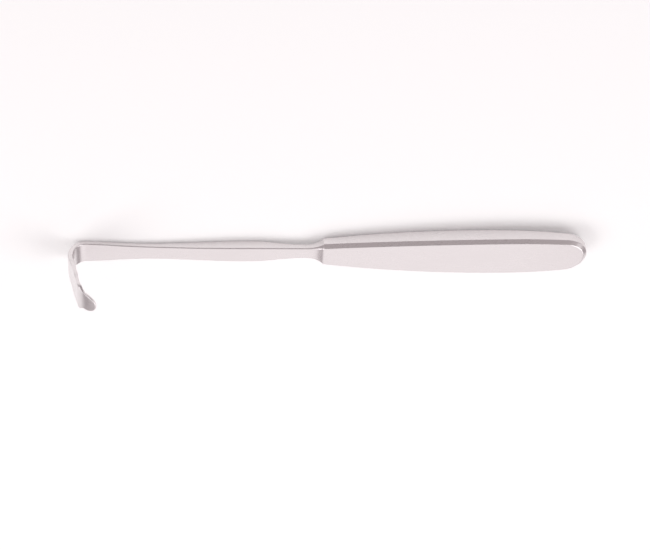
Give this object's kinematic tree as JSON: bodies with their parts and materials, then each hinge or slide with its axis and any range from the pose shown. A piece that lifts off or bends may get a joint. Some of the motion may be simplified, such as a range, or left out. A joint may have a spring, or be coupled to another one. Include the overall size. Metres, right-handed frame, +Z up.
{
  "type": "handheld surgical retractor",
  "caption": "One-piece steel hand retractor: flat bevelled paddle handle, slim swelling shaft and a hooked blade, bent just past a right angle, whose rounded lip curls inwards.",
  "frame": {"origin": "middle of the instrument's box, on the surface that it lies on", "axes": "+X from the handle towards the blade, +Y across the width, +Z up, the way the blade points"},
  "size_m": [0.2152, 0.0218, 0.0302],
  "materials": {
    "satin_steel": "satin polished stainless steel with fine lengthwise brushing"
  },
  "bodies": {
    "root": {"retractor": "satin_steel"}
  },
  "joints": []
}
